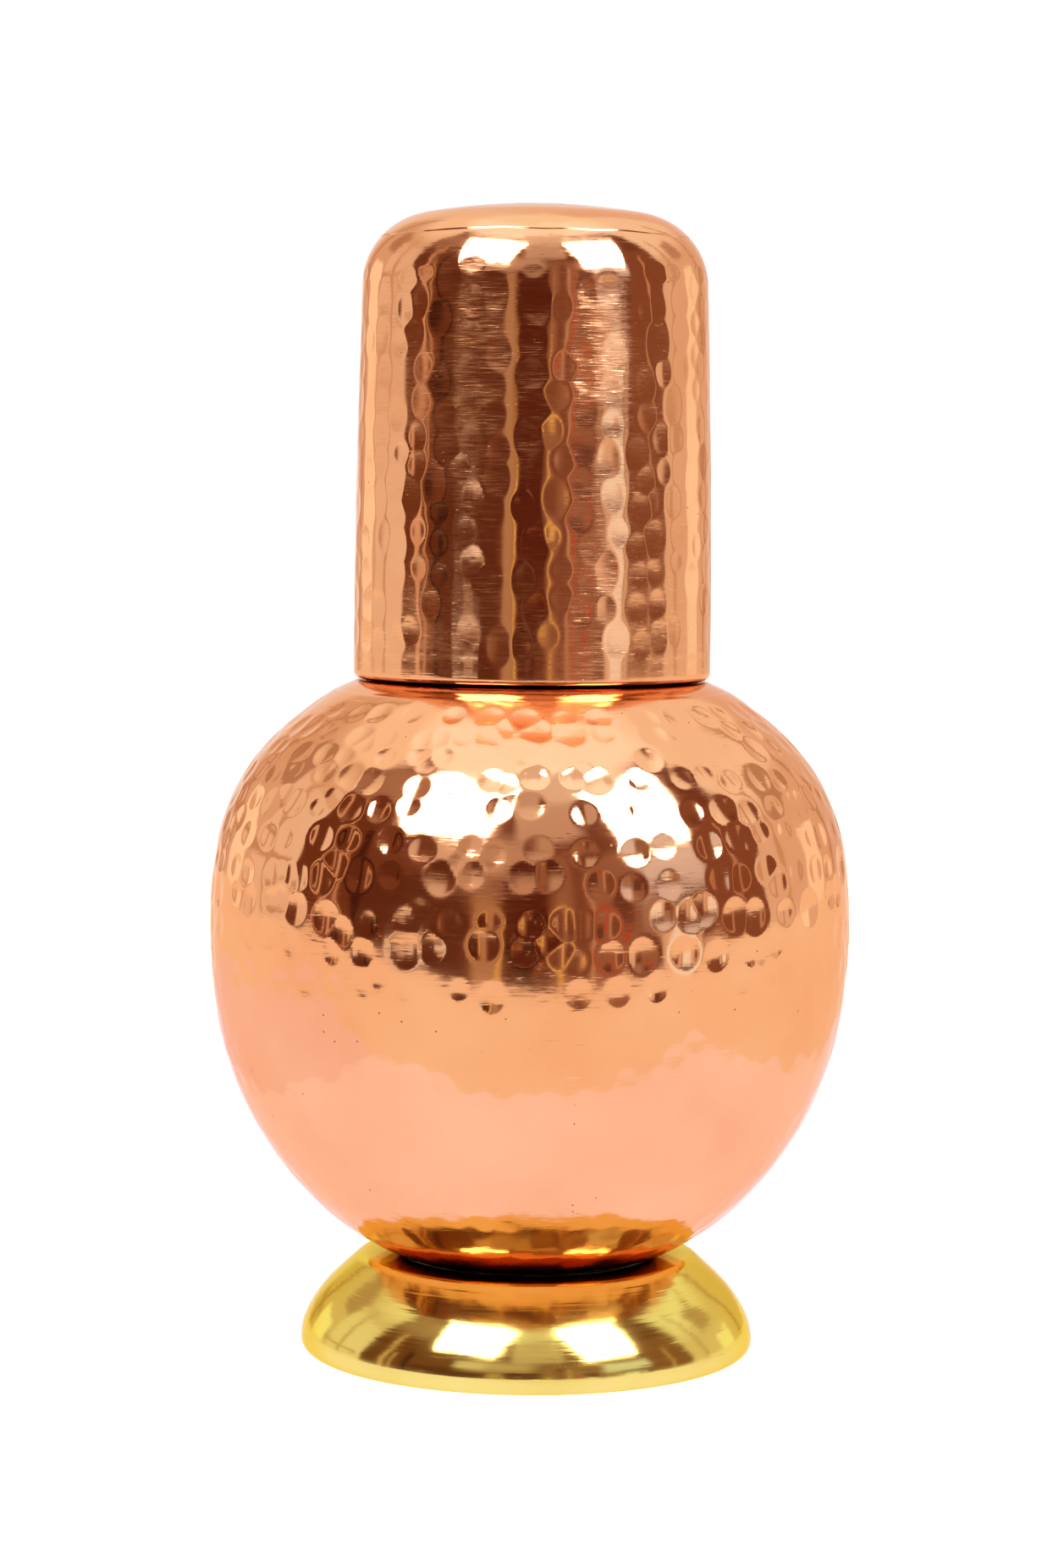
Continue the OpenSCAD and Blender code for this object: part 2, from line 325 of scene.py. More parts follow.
# the tumbler stands on its lip: a wall that ends in a rolled rim, and a base let into its corner
tumbler = {
    "sheet": 0.8,
    "columns": 440,
    "rimRadius": 1.5,
    "rimCentre": (38.0, 151.389),
    "rimHeading": -170,
    "rimTurn": 260,
    "wallMoves": [(2478.66, 1.97013, 0.58)],
    "cornerRadius": 16,
    "cornerStart": (38.0348, 236.602),
    "seamHeading": 130.676,
    "crownRadius": 142.946,
    "markLines": 39,  # upright lines of hammer marks
    "markPitch": (5.7, 8.3),
    "missed": 0.12,
    "depth": (0.10, 0.19),
    "ball": (45, 110),
    "stretch": (0.66, 0.86),
    "strong": 0.09,  # share of marks struck harder, with a smaller ball
    "strongDepth": (0.16, 0.22),
    "strongBall": (26, 36),
    "markRim": 0.035,
    "lipLines": ((1.5, 0.014, 0.25), (3.4, -0.012, 0.3), (5.3, 0.016, 0.28), (6.1, -0.014, 0.25)),
}
barrelTurn = math.degrees(math.asin(86.6 / 2560))  # how far the wall leans where the corner starts
rimHeading = math.radians(tumbler["rimHeading"])
rimStart = (tumbler["rimCentre"][0] + tumbler["rimRadius"] * math.sin(rimHeading),
            tumbler["rimCentre"][1] - tumbler["rimRadius"] * math.cos(rimHeading), tumbler["rimHeading"])
rimMoves = [(tumbler["rimRadius"], tumbler["rimTurn"], 0.35)]
rimRows = follow(rimStart, rimMoves)
wallRows = follow(rimStart, rimMoves + tumbler["wallMoves"])
bend, seamHeading, nearSeam = tumbler["cornerRadius"], tumbler["seamHeading"], 2.2
cornerMoves = [(bend, seamHeading - 90 - barrelTurn - nearSeam, 0.5), (bend, nearSeam, 0.09)]
cornerRows = follow((*tumbler["cornerStart"], 90 + barrelTurn), cornerMoves)
baseMoves = [(bend, nearSeam, 0.09), (bend, 170 - seamHeading - nearSeam, 0.5),
             (tumbler["crownRadius"], 9.2, 0.8), (tumbler["crownRadius"], 0.8, 1.0)]
baseRows = follow((*cornerRows[-1, :2], seamHeading), baseMoves)
cornerRows[:, 3] += wallRows[-1, 3]
baseRows[:, 3] += cornerRows[-1, 3]
tumblerRows = np.vstack((wallRows, cornerRows[1:], baseRows[1:]))
tumblerSeam = len(wallRows) + len(cornerRows) - 2
lipTravel = tumbler["rimRadius"] * math.radians(tumbler["rimTurn"])
crownTravel = tumblerRows[tumblerSeam, 3]

columns = tumbler["columns"]
pick = np.random.default_rng(23)
tumblerMarks = []
for k in range(tumbler["markLines"]):
    line = k * 2 * math.pi / tumbler["markLines"]
    start = 8.6 + pick.uniform(-1.6, 1.6)
    lean = pick.uniform(-0.02, 0.02)
    travel = lipTravel + start
    while travel < lipTravel + 87.5:
        if pick.random() > tumbler["missed"]:
            depth, ball = pick.uniform(*tumbler["depth"]), pick.uniform(*tumbler["ball"])
            struckHard = pick.random() < tumbler["strong"]
            if struckHard:
                depth, ball = pick.uniform(*tumbler["strongDepth"]), pick.uniform(*tumbler["strongBall"])
            angle = line + lean + pick.uniform(-0.045, 0.045)
            stretch = 1.05 if struckHard else pick.uniform(*tumbler["stretch"])
            tumblerMarks.append((travel, angle, depth, ball, stretch))
        travel += pick.uniform(*tumbler["markPitch"])
cornerMarks = []
for k in range(26):
    travel, angle = lipTravel + pick.uniform(88, 98), pick.uniform(0, 2 * math.pi)
    cornerMarks.append((travel, angle, pick.uniform(0.02, 0.07), pick.uniform(50, 110), 1.0))
for k in range(9):
    travel, angle = crownTravel + pick.uniform(12, 34), pick.uniform(0, 2 * math.pi)
    cornerMarks.append((travel, angle, pick.uniform(0.01, 0.04), pick.uniform(90, 160), 1.0))
tumblerDent = hammer(np.zeros((len(tumblerRows), columns)), tumblerRows, tumblerMarks + cornerMarks, columns,
                     tumbler["markRim"])
s = tumblerRows[:, 3:4]
pole = tumblerRows[-1, 3]
hand = fade(s, lipTravel + 1, lipTravel + 10) * (1 - fade(s, pole - 14, pole - 4))
tumblerDent += hand * ripple(tumblerRows, columns, 12, 0.03, 26, 11, 36)
for at, height, width in tumbler["lipLines"]:  # turned lines on the plain band above the lip
    tumblerDent += height * np.exp(-((s - lipTravel - at) / width) ** 2)
# the seam: both edges are rounded over into a fine groove
gap = np.abs(s - crownTravel)
tumblerDent -= 0.22 * np.clip(1 - gap / 0.3, 0, 1) ** 2
tumblerPoints = skinPoints(tumblerRows, tumblerDent, columns)
# the seam runs slightly unevenly round the corner
a = aroundAngles(columns)
wave = 0.22 * np.sin(3 * a + 0.6) + 0.12 * np.sin(7 * a + 2) + 0.07 * np.sin(17 * a)
near = toolLine(s, crownTravel, 2.2) * wave[None, :]
heading = tumblerRows[:, 2:3]
slide = near * np.cos(heading)
tumblerPoints += np.stack((slide * np.cos(a), slide * np.sin(a), near * np.sin(heading)), -1)
tumblerNormals = skinNormals(tumblerPoints, tumblerRows[:, 3])
tumblerNormals[-3:] = 0  # too close to the axis for a normal of their own

wallSkin = tumblerRows[:tumblerSeam + 1]
curl = follow(rimStart, [(tumbler["rimRadius"], tumbler["rimTurn"], 0.7)])
plain = np.vstack((curl, thinRows(wallSkin[len(rimRows):], 10)))
tumblerWall = closedSheet("tumblerWall", tumblerPoints[:tumblerSeam + 1], wallSkin[:, 3],
                          tumblerNormals[:tumblerSeam + 1],
                          skinPoints(plain, 0.0, columns, tumbler["sheet"]), plain[:, 3])

outer = tumblerPoints[tumblerSeam:-1][::-1]
plain = thinRows(tumblerRows[tumblerSeam:-1], 10)
rings = np.concatenate((outer, skinPoints(plain, 0.0, columns, tumbler["sheet"])))[:, ::-1]
travel = np.concatenate((tumblerRows[tumblerSeam:-1, 3][::-1], plain[:, 3], [pole] * 2))
top = tumblerRows[-1, 1]
baseNormals = tumblerNormals[tumblerSeam:-1][::-1][:, ::-1]
poles = [(0, 0, top + float(tumblerDent[-1].mean())), (0, 0, top - tumbler["sheet"])]
tumblerBase = turnedMesh("tumblerBase", rings, travel, baseNormals, poles, [len(outer) - 1, len(outer)])
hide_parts("tumbler_wall")
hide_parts("tumbler_base")
print("tumbler:", len(tumblerMarks), "hammer marks,", len(tumblerWall.data.polygons), "and",
      len(tumblerBase.data.polygons), "faces")


# spun brass, with the faint unevenness of the spinning on the part that shows
foot = {
    "sheet": 1.0,
    "columns": 420,
    "hemRadius": 44.5,
    "moves": [(3.5, 0, 1.2), (2.5, 90, 0.3), (12, 25, 0.4), (27, 20, 0.5), (100, 4.4, 0.7), (4.4, 40.6, 0.3),
              (6.405, 0, 1.0), (3, 19.5, 0.4), (52.3, -10, 1.2)],
}
footRows = follow((foot["hemRadius"], 0, 0), foot["moves"])
columns = foot["columns"]
s = footRows[:, 3:4]
shown = fade(s, 4.5, 8) * (1 - fade(s, 40, 44))
footDent = shown * (ripple(footRows, columns, 31, 0.012, 14, 18, 60)
                    + 0.004 * np.sin(s * 2.4) + 0.003 * np.sin(s * 5.1 + 1))
footPoints = skinPoints(footRows, footDent, columns)
plain = thinRows(footRows, 26)
footPiece = closedSheet("footRing", footPoints, footRows[:, 3], skinNormals(footPoints, footRows[:, 3]),
                        skinPoints(plain, 0.0, columns, foot["sheet"]), plain[:, 3])
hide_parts("foot")


# a plain tube with a rolled pouring lip
neck = {
    "sheet": 0.9,
    "columns": 300,
    "radius": 29.0,
    "bottom": 150.589,
    "moves": [(61.55, 0, 1.2), (1.2, -290, 0.25)],
}
neckRows = follow((neck["radius"], neck["bottom"], 90), neck["moves"])
columns = neck["columns"]
s = neckRows[:, 3:4]
tube = fade(s, 8.5, 14) * (1 - fade(s, 52, 60))
neckDent = tube * (ripple(neckRows, columns, 52, 0.015, 18, 14, 60) - 0.008 * (1 + np.sin(s * 3.1)))
neckPoints = skinPoints(neckRows, neckDent, columns)
neckPiece = closedSheet("neckTube", neckPoints, neckRows[:, 3], skinNormals(neckPoints, neckRows[:, 3]),
                        skinPoints(neckRows, 0.0, columns, neck["sheet"]), neckRows[:, 3])
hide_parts("neck")


def bead(name, corners, columns, seed, height):
    # a ring with a small section, its surface lumpy as filler that has run and set
    corners = np.array(corners, float)
    rough = np.random.default_rng(seed)
    a = aroundAngles(columns)
    centre = corners.mean(0)
    rings = []
    for k, (r, z) in enumerate(corners):
        lump = sum(np.sin(m * a + rough.uniform(0, 6.28)) / 3 for m in rough.integers(9, 90, 7))
        pull = 1 - height * (1 + lump)
        rr, zz = centre[0] + (r - centre[0]) * pull, centre[1] + (z - centre[1]) * pull
        rings.append(np.stack((rr * np.cos(a), rr * np.sin(a), zz + 0 * a), -1))
    rings = np.array(rings)
    size = np.linalg.norm(corners - np.roll(corners, 1, 0), axis=1)
    return turnedMesh(name, rings, np.cumsum(size), None, None)


def roundSection(r, z, size, count=14):
    return [(r + size * math.cos(t), z + size * math.sin(t)) for t in np.arange(count) * 2 * math.pi / count]


def bandSection(centreR, centreZ, radius, low, high, thick, count=6):
    # a strip of filler that follows a bend; the angles are headings
    steps = [math.radians(low + (high - low) * k / count) for k in range(count + 1)]
    outside = [(centreR + radius * math.sin(t), centreZ - radius * math.cos(t)) for t in steps]
    radius -= thick
    inside = [(centreR + radius * math.sin(t), centreZ - radius * math.cos(t)) for t in steps]
    return outside + inside[::-1]


fillers = (  # name, CAD node, body, columns, seed, lumpiness, section as radius and height
    ("bellyFiller", "belly_braze", "jug", 360, 3, 0.04,
     [(70.01, 93.01), (70.01, 96.0), (70.01, 99.01), (69.6, 98.6), (69.51, 96.0), (69.6, 93.4)]),
    ("neckFillet", "neck_braze", "jug", 360, 4, 0.06,
     [(29.03, 158.144), (29.95, 158.144), (29.62, 158.36), (29.33, 158.72), (29.12, 159.0),
      (29.03, 159.344)]),
    ("footSolder", "foot_solder", "jug", 240, 5, 0.03,
     bandSection(10.6361, 70.6563, 52.27, 10.5, 18.5, 0.24)),
    ("baseFiller", "tumbler_braze", "tumbler", 300, 6, 0.04,
     bandSection(22.0442, 236.053, 15.17, 124.68, 136.68, 0.5)),
    ("neckLipWire", "neck_lip_wire", "jug", 240, 8, 0.004, roundSection(30.2, 212.139, 1.15)),
    ("tumblerLipWire", "tumbler_lip_wire", "tumbler", 240, 9, 0.004, roundSection(38.0, 151.389, 0.65)),
)
inside = {}
for name, node, body, columns, seed, lumpiness, corners in fillers:
    inside[name] = bead(name, corners, columns, seed, lumpiness)
    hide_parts(node)
    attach(inside[name], body)
for piece in (upperBowl, lowerBowl, footPiece, neckPiece):
    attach(piece, "jug")
for piece in (tumblerWall, tumblerBase):
    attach(piece, "tumbler")
print("foot, neck, fillers and wires built")


def nodeIn(tree, kind, inputs=None, **settings):
    node = tree.nodes.new("ShaderNode" + kind)
    for key, value in settings.items():
        setattr(node, key, value)
    for key, value in (inputs or {}).items():
        if isinstance(value, bpy.types.NodeSocket):
            tree.links.new(value, node.inputs[key])
        else:
            node.inputs[key].default_value = value
    return node


def mathIn(tree, operation, *values):
    return nodeIn(tree, "Math", dict(enumerate(values)), operation=operation).outputs[0]


def rangeIn(tree, value, fromLow, fromHigh, toLow=0.0, toHigh=1.0):
    return nodeIn(tree, "MapRange", {"Value": value, "From Min": fromLow, "From Max": fromHigh,
                                     "To Min": toLow, "To Max": toHigh}).outputs[0]


def mixIn(tree, share, under, over, label=""):
    return nodeIn(tree, "Mix", {"Factor": share, "A": under, "B": over}, data_type="RGBA",
                  label=label).outputs["Result"]


def rubbedMetal(name, look):
    # polished metal with scratches that run round the piece, small pits, slow changes of tone and painted
    # shade in creases
    material = bpy.data.materials.new(name)
    material.use_nodes = True
    tree = material.node_tree
    tree.nodes.clear()
    place = nodeIn(tree, "TexCoord")
    xyz = nodeIn(tree, "SeparateXYZ", {0: place.outputs["Object"]})
    uv = nodeIn(tree, "SeparateXYZ", {0: place.outputs["UV"]})
    # the pit colour is also the colour of the painted shade in creases
    pitColour = (*look["pitColour"], 1)

    def streaks(length, pitch, detail, seed):
        # noise drawn out to this length round the piece, and to this pitch along its outline
        along = 1000.0 / length
        vector = nodeIn(tree, "CombineXYZ", {
            0: mathIn(tree, "MULTIPLY", xyz.outputs[0], along),
            1: mathIn(tree, "MULTIPLY", xyz.outputs[1], along),
            2: mathIn(tree, "MULTIPLY_ADD", uv.outputs[1], 100.0 / pitch, seed)})
        return nodeIn(tree, "TexNoise", {"Vector": vector.outputs[0], "Scale": 1.0, "Detail": detail,
                                         "Roughness": 0.6}).outputs["Fac"]

    fine = streaks(look["streak"], look["pitch"], 3.0, 3.0)
    broad = streaks(look["streak"] * 0.45, look["pitch"] * 2.3, 2.0, 17.0)
    patch = nodeIn(tree, "TexNoise", {"Vector": place.outputs["Object"], "Scale": look["patch"],
                                      "Detail": 3.0}).outputs["Fac"]
    rubbed = mathIn(tree, "MULTIPLY", rangeIn(tree, patch, 0.38, 0.68, look["calm"], 1.0), look["rub"])
    # a scratch tips the surface up or down along the outline, at right angles to its own run
    broadSlope = mathIn(tree, "MULTIPLY", mathIn(tree, "SUBTRACT", broad, 0.5), 0.5)
    slope = mathIn(tree, "ADD", mathIn(tree, "SUBTRACT", fine, 0.5), broadSlope)
    cubed = mathIn(tree, "MULTIPLY", mathIn(tree, "MULTIPLY", slope, slope),
                   mathIn(tree, "MULTIPLY", slope, 30.0))
    tip = mathIn(tree, "MULTIPLY", mathIn(tree, "ADD", mathIn(tree, "MULTIPLY", slope, 0.25), cubed), rubbed)
    normal = nodeIn(tree, "NewGeometry").outputs["Normal"]
    roundIt = nodeIn(tree, "VectorMath", {0: (0.0, 0.0, 1.0), 1: place.outputs["Object"]},
                     operation="CROSS_PRODUCT").outputs[0]
    upIt = nodeIn(tree, "VectorMath", {0: normal, 1: roundIt}, operation="CROSS_PRODUCT").outputs[0]
    upIt = nodeIn(tree, "VectorMath", {0: upIt}, operation="NORMALIZE").outputs[0]
    push = nodeIn(tree, "VectorMath", {0: upIt, "Scale": tip}, operation="SCALE").outputs[0]
    leaned = nodeIn(tree, "VectorMath", {0: normal, 1: push}, operation="ADD").outputs[0]
    leaned = nodeIn(tree, "VectorMath", {0: leaned}, operation="NORMALIZE").outputs[0]

    pits = nodeIn(tree, "TexVoronoi", {"Vector": place.outputs["Object"], "Scale": look["pits"]})
    chance = nodeIn(tree, "SeparateColor", {0: pits.outputs["Color"]}).outputs[0]
    pitted = mathIn(tree, "MULTIPLY", mathIn(tree, "GREATER_THAN", chance, look["pitShare"]),
                    rangeIn(tree, pits.outputs["Distance"], 0.06, 0.10, 1.0, 0.0))
    tone = mixIn(tree, rangeIn(tree, patch, 0.35, 0.7), (*look["colour"], 1), (*look["shade"], 1))
    tone = mixIn(tree, mathIn(tree, "MULTIPLY", pitted, 0.85), tone, pitColour)
    for low, high, soft, share in look.get("creases", ()):
        # painted shade: the base colour is darkened towards the pit colour in a crease between parts, where
        # shade falls; low and high are millimetres along the outline
        uneven = mathIn(tree, "MULTIPLY_ADD", patch, soft, -0.5 * soft)
        reach = mathIn(tree, "MULTIPLY_ADD", uv.outputs[1], 100.0, uneven)
        paintedShade = mathIn(tree, "MULTIPLY", rangeIn(tree, reach, low - soft, low),
                       rangeIn(tree, reach, high + soft, high))
        tone = mixIn(tree, mathIn(tree, "MULTIPLY", paintedShade, share), tone, pitColour)
    blur = rangeIn(tree, mathIn(tree, "MULTIPLY", fine, patch), 0.15, 0.4, *look["polish"])
    blur = mathIn(tree, "MULTIPLY_ADD", pitted, 0.35, blur)
    dimple = nodeIn(tree, "Bump", {"Height": patch, "Strength": 0.25, "Distance": 0.0003,
                                   "Normal": leaned}).outputs[0]
    roundWay = nodeIn(tree, "Tangent", direction_type="RADIAL", axis="Z").outputs[0]
    metal = nodeIn(tree, "BsdfPrincipled", {"Base Color": tone, "Metallic": 1.0, "Roughness": blur,
                                            "Specular Tint": (*look.get("rim", (1.0, 1.0, 1.0)), 1),
                                            "Anisotropic": look["brushed"], "Anisotropic Rotation": 0.25,
                                            "Normal": dimple, "Tangent": roundWay})
    nodeIn(tree, "OutputMaterial", {"Surface": metal.outputs[0]})
    return material


# rim is the tint at a glancing angle, polish the least and most roughness, streak and pitch the length and
# spacing of scratches in mm, rub their strength, and a painted crease shade is where it starts and ends
# along the outline, how soft its edge is and how dark it is
hammeredCopper = rubbedMetal("hammeredCopper", {
    "colour": (0.93, 0.46, 0.24), "shade": (0.90, 0.405, 0.20), "rim": (0.98, 0.78, 0.65),
    "polish": (0.06, 0.13), "brushed": 0.6, "streak": 6.0, "pitch": 0.34, "rub": 0.15,
    "patch": 38.0, "calm": 0.25, "pits": 420.0, "pitShare": 0.91, "pitColour": (0.16, 0.018, 0.006),
    # painted shade: dark bands in the crevice where the foot meets the belly, and on the shoulder under the
    # tumbler's rolled lip
    "creases": [(-97.0, -92.0, 1.4, 0.93), (-97.0, -90.0, 5.0, 0.4),
                (shoulderTop + 0.3, shoulderTop + 2.6, 0.8, 0.93)]})
brushedCopper = rubbedMetal("brushedCopper", {
    "colour": (0.92, 0.455, 0.24), "shade": (0.88, 0.41, 0.205), "rim": (0.98, 0.78, 0.65),
    "polish": (0.05, 0.195), "brushed": 0.85, "streak": 5.0, "pitch": 0.22, "rub": 0.25,
    "patch": 45.0, "calm": 0.4, "pits": 420.0, "pitShare": 0.91, "pitColour": (0.16, 0.018, 0.006),
    # painted shade: the underside of the rolled lip darkened where it sits on the shoulder
    "creases": [(-1.0, 4.8, 0.7, 0.93)]})
smoothCopper = rubbedMetal("smoothCopper", {
    "colour": (0.92, 0.46, 0.25), "shade": (0.90, 0.43, 0.22), "rim": (0.98, 0.80, 0.68),
    "polish": (0.08, 0.15), "brushed": 0.6, "streak": 12.0, "pitch": 0.4, "rub": 0.2,
    "patch": 40.0, "calm": 0.4, "pits": 560.0, "pitShare": 0.975, "pitColour": (0.20, 0.07, 0.04)})
spunBrass = rubbedMetal("spunBrass", {
    "colour": (0.89, 0.69, 0.19), "shade": (0.84, 0.62, 0.15), "rim": (0.94, 0.76, 0.34),
    "polish": (0.09, 0.17), "brushed": 0.6, "streak": 22.0, "pitch": 0.45, "rub": 0.2,
    "patch": 40.0, "calm": 0.5, "pits": 560.0, "pitShare": 0.97, "pitColour": (0.07, 0.025, 0.005),
    # painted shade: the foot's dish under the bowl darkened, with a softer and wider band round it
    "creases": [(39.6, 49.0, 1.6, 0.93), (37.0, 49.0, 5.0, 0.5)]})
brazeMetal = rubbedMetal("brazeMetal", {
    "colour": (0.74, 0.55, 0.30), "shade": (0.55, 0.38, 0.20),
    "polish": (0.32, 0.5), "brushed": 0.0, "streak": 3.0, "pitch": 1.2, "rub": 0.5,
    "patch": 180.0, "calm": 0.5, "pits": 900.0, "pitShare": 0.85, "pitColour": (0.16, 0.10, 0.06)})
solderMetal = rubbedMetal("solderMetal", {
    "colour": (0.34, 0.27, 0.22), "shade": (0.24, 0.18, 0.15),
    "polish": (0.35, 0.5), "brushed": 0.0, "streak": 3.0, "pitch": 1.2, "rub": 0.5,
    "patch": 180.0, "calm": 0.5, "pits": 900.0, "pitShare": 0.85, "pitColour": (0.10, 0.08, 0.07)})
drawnWire = rubbedMetal("drawnWire", {
    "colour": (0.72, 0.36, 0.20), "shade": (0.62, 0.30, 0.17),
    "polish": (0.2, 0.34), "brushed": 0.4, "streak": 30.0, "pitch": 0.3, "rub": 0.5,
    "patch": 90.0, "calm": 0.5, "pits": 700.0, "pitShare": 0.95, "pitColour": (0.16, 0.08, 0.05)})


def setMetal(piece, material):
    piece.data.materials.clear()
    piece.data.materials.append(material)


madeOf = (
    (hammeredCopper, "hammered_copper", (upperBowl, lowerBowl)),
    (brushedCopper, "hammered_copper", (tumblerWall,)),
    (smoothCopper, "smooth_copper", (tumblerBase, neckPiece)),
    (spunBrass, "brass", (footPiece,)),
    (brazeMetal, "braze", (inside["bellyFiller"], inside["neckFillet"], inside["baseFiller"])),
    (solderMetal, "solder", (inside["footSolder"],)),
    (drawnWire, "wire", (inside["neckLipWire"], inside["tumblerLipWire"])),
)
slotMetal = {}
for metal, slotName, pieces in madeOf:
    slotMetal.setdefault(slotName, metal)
    for piece in pieces:
        setMetal(piece, metal)
for row in frame["record"]["subparts"]:  # the CAD solids carry the metal of their slot
    setMetal(frame["nodes"][row["node"]], slotMetal[row["material_slot"]])
print("metals:", ", ".join(m.name for m in bpy.data.materials if m.use_nodes))


def glow(name, colour, strength):
    material = bpy.data.materials.new(name)
    material.use_nodes = True
    tree = material.node_tree
    tree.nodes.clear()
    place = nodeIn(tree, "TexCoord")
    soft = nodeIn(tree, "TexNoise", {"Vector": place.outputs["Object"], "Scale": 3.0,
                                     "Detail": 2.0}).outputs["Fac"]
    level = rangeIn(tree, soft, 0.0, 1.0, strength * 0.97, strength * 1.03)
    light = nodeIn(tree, "Emission", {"Color": (*colour, 1), "Strength": level})
    nodeIn(tree, "OutputMaterial", {"Surface": light.outputs[0]})
    return material


def stageMesh(name, material, verts, faces, camera, glossy, diffuse):
    # something that stands round the jug, and which rays see it
    mesh = bpy.data.meshes.new(name)
    mesh.from_pydata(verts, [], faces)
    mesh.materials.append(material)
    piece = bpy.data.objects.new(name, mesh)
    bpy.context.scene.collection.objects.link(piece)
    piece.visible_camera, piece.visible_glossy, piece.visible_diffuse = camera, glossy, diffuse
    piece.visible_shadow = piece.visible_transmission = piece.visible_volume_scatter = False


def flatMesh(corners, z):
    return [(x, y, z) for x, y in corners], [(0, 1, 2, 3)]


def roundMesh(radius, steps, bands):
    verts = [(radius * math.cos(2 * math.pi * i / steps) * math.sin(math.pi * j / bands),
              radius * math.sin(2 * math.pi * i / steps) * math.sin(math.pi * j / bands),
              radius * math.cos(math.pi * j / bands)) for j in range(1, bands) for i in range(steps)]
    verts += [(0, 0, radius), (0, 0, -radius)]
    faces = [(j * steps + i, j * steps + (i + 1) % steps, (j + 1) * steps + (i + 1) % steps,
              (j + 1) * steps + i) for j in range(bands - 2) for i in range(steps)]
    faces += [(i, len(verts) - 2, (i + 1) % steps) for i in range(steps)]
    faces += [((bands - 2) * steps + i, (bands - 2) * steps + (i + 1) % steps, len(verts) - 1)
              for i in range(steps)]
    return verts, faces


floorPaper = bpy.data.materials.new("floorPaper")
floorPaper.use_nodes = True
tree = floorPaper.node_tree
tree.nodes.clear()
grain = nodeIn(tree, "TexNoise", {"Vector": nodeIn(tree, "TexCoord").outputs["Object"], "Scale": 400.0,
                                  "Detail": 2.0}).outputs["Fac"]
whites = nodeIn(tree, "ValToRGB", {"Fac": grain})
for stop, place, shade in zip(whites.color_ramp.elements, (0.3, 0.7), (0.80, 0.84)):
    stop.position = place
    stop.color = (shade, shade, shade, 1)
paper = nodeIn(tree, "BsdfPrincipled", {"Base Color": whites.outputs["Color"], "Roughness": 0.9,
                                        "Specular IOR Level": 0.0, "Emission Color": (1.0, 1.0, 1.0, 1.0),
                                        "Emission Strength": 0.9})
nodeIn(tree, "OutputMaterial", {"Surface": paper.outputs[0]})
stageMesh("floor", floorPaper, *flatMesh([(-6, -6), (6, -6), (6, 6), (-6, 6)], -0.0003), True, False, True)
stageMesh("backdrop", glow("backdropWhite", (1, 1, 1), 1.08), *roundMesh(4, 48, 24), True, False, False)

# what the metal sees below it: a white paper under the jug, a buff table round it, then the dark room
tableThings = (  # name, colour, strength, corners, height
    ("buffTable", (1.0, 0.93, 0.81), 1.03, [(-2.5, -0.60), (2.5, -0.36), (2.5, 2.5), (-2.5, 2.5)], -0.0012),
    ("whitePaper", (1.0, 0.985, 1.13), 1.09, [(-0.16, -0.143), (0.213, -0.15), (0.213, 0.5), (-0.16, 0.5)],
     -0.0008),
    ("pinkPaper", (1.0, 0.92, 1.02), 1.04, [(-0.46, -0.128), (-0.16, -0.143), (-0.16, 0.5), (-0.46, 0.5)],
     -0.0008),
)
for name, colour, strength, corners, height in tableThings:
    stageMesh(name, glow(name + "Glow", colour, strength), *flatMesh(corners, height), False, True, False)

